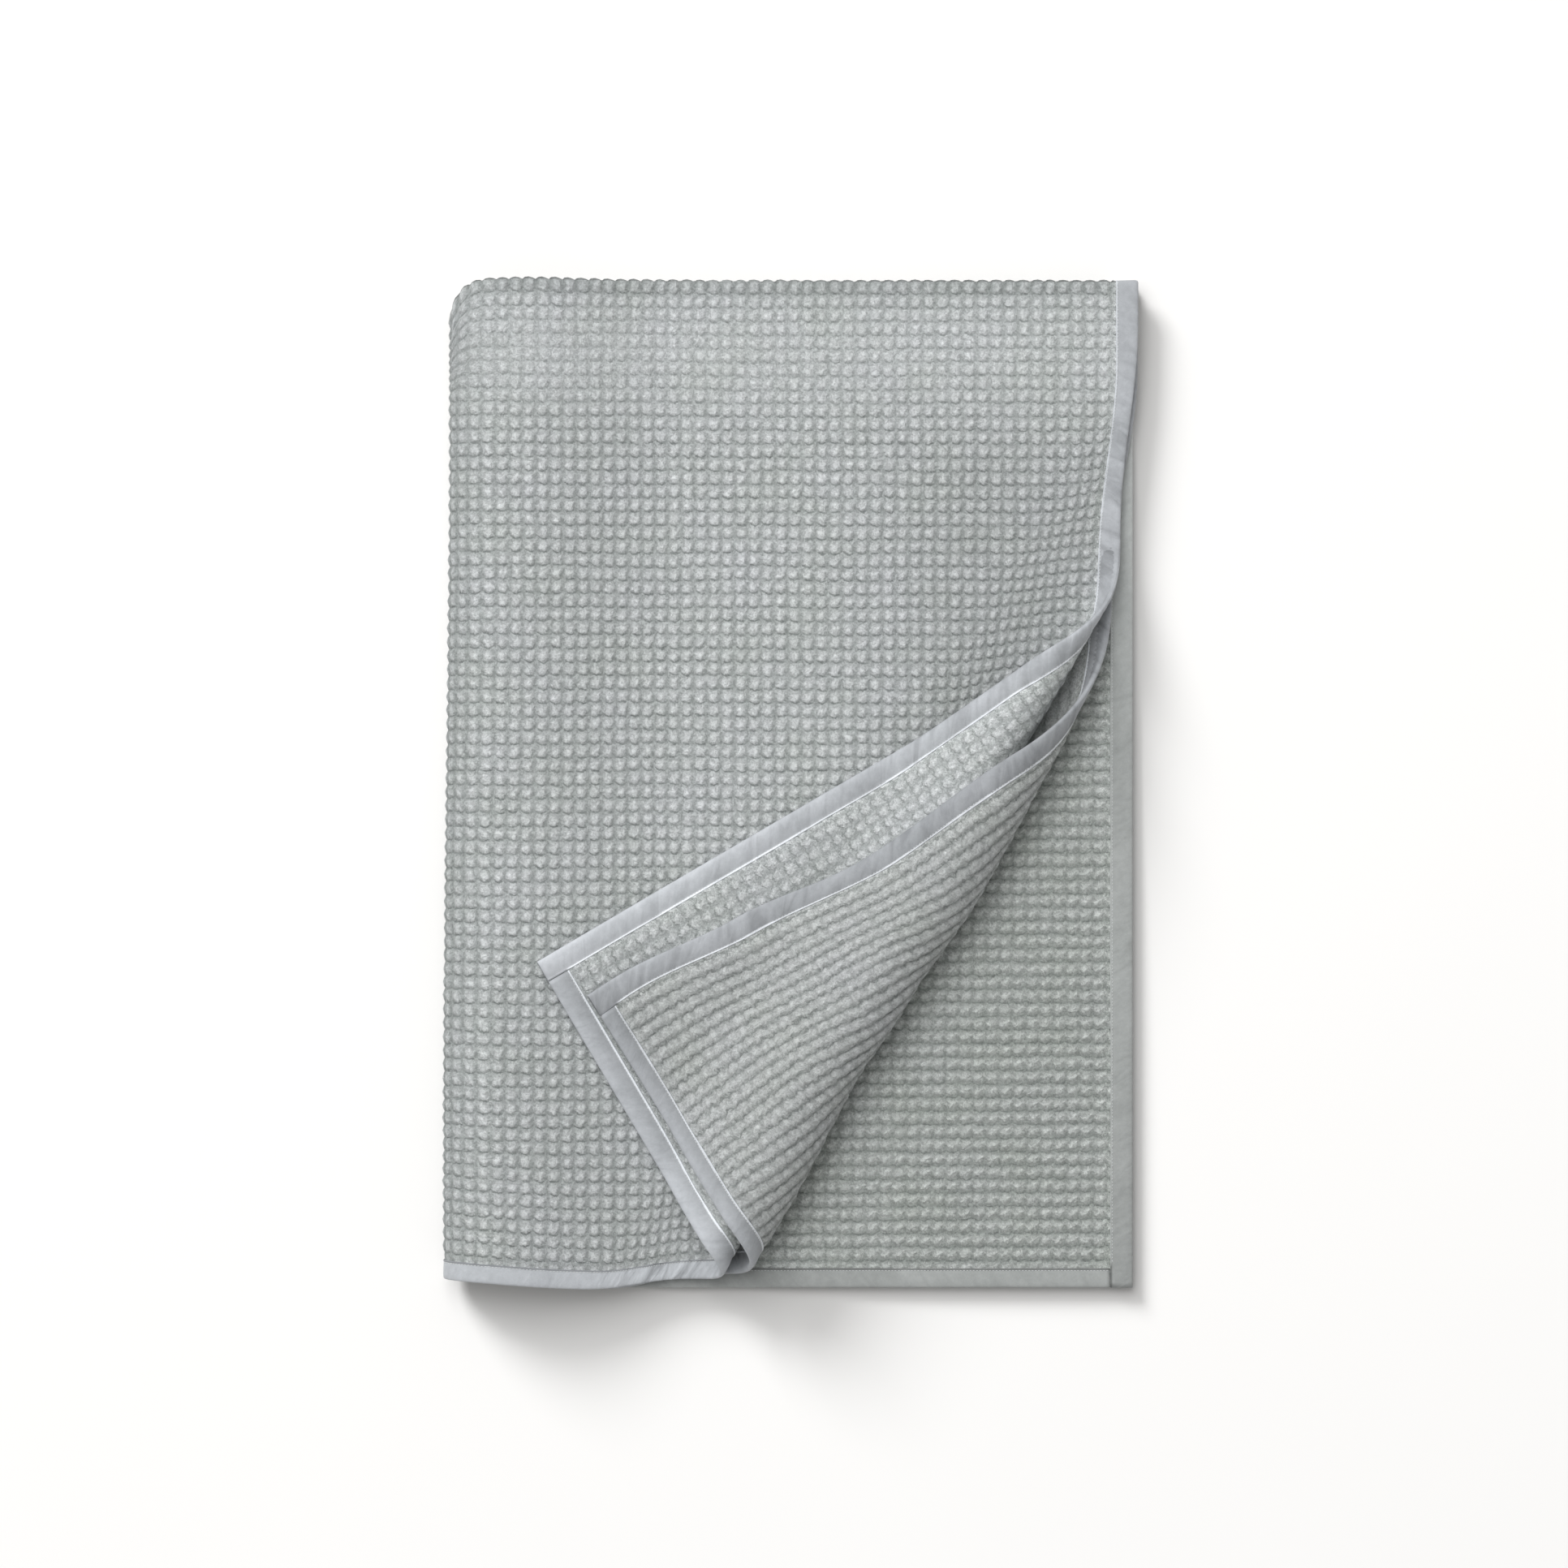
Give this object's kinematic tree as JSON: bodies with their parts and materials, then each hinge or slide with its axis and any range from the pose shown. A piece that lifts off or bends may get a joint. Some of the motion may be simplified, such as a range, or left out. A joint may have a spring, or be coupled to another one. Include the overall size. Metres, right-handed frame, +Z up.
{
  "type": "folded waffle blanket",
  "caption": "Waffle weave throw with a flat bound edge, folded in half both ways and lying flat, one corner of its upper layers rolled back.",
  "frame": {"origin": "on the surface the blanket lies on, under the middle of the folded blanket", "axes": "+Z up, +X towards the open long side, +Y towards the tightly folded far end"},
  "size_m": [0.6108, 0.8865, 0.0814],
  "materials": {
    "waffle_cloth": "soft matt waffle weave with rounded cells and a fuzzy yarn",
    "binding": "smooth plain weave strip with a slight sheen, stitched close to its inner edge"
  },
  "bodies": {
    "root": {"waffle_cloth": "waffle_cloth", "binding_right": "binding", "binding_left": "binding", "binding_foot": "binding", "binding_head": "binding"}
  },
  "joints": []
}
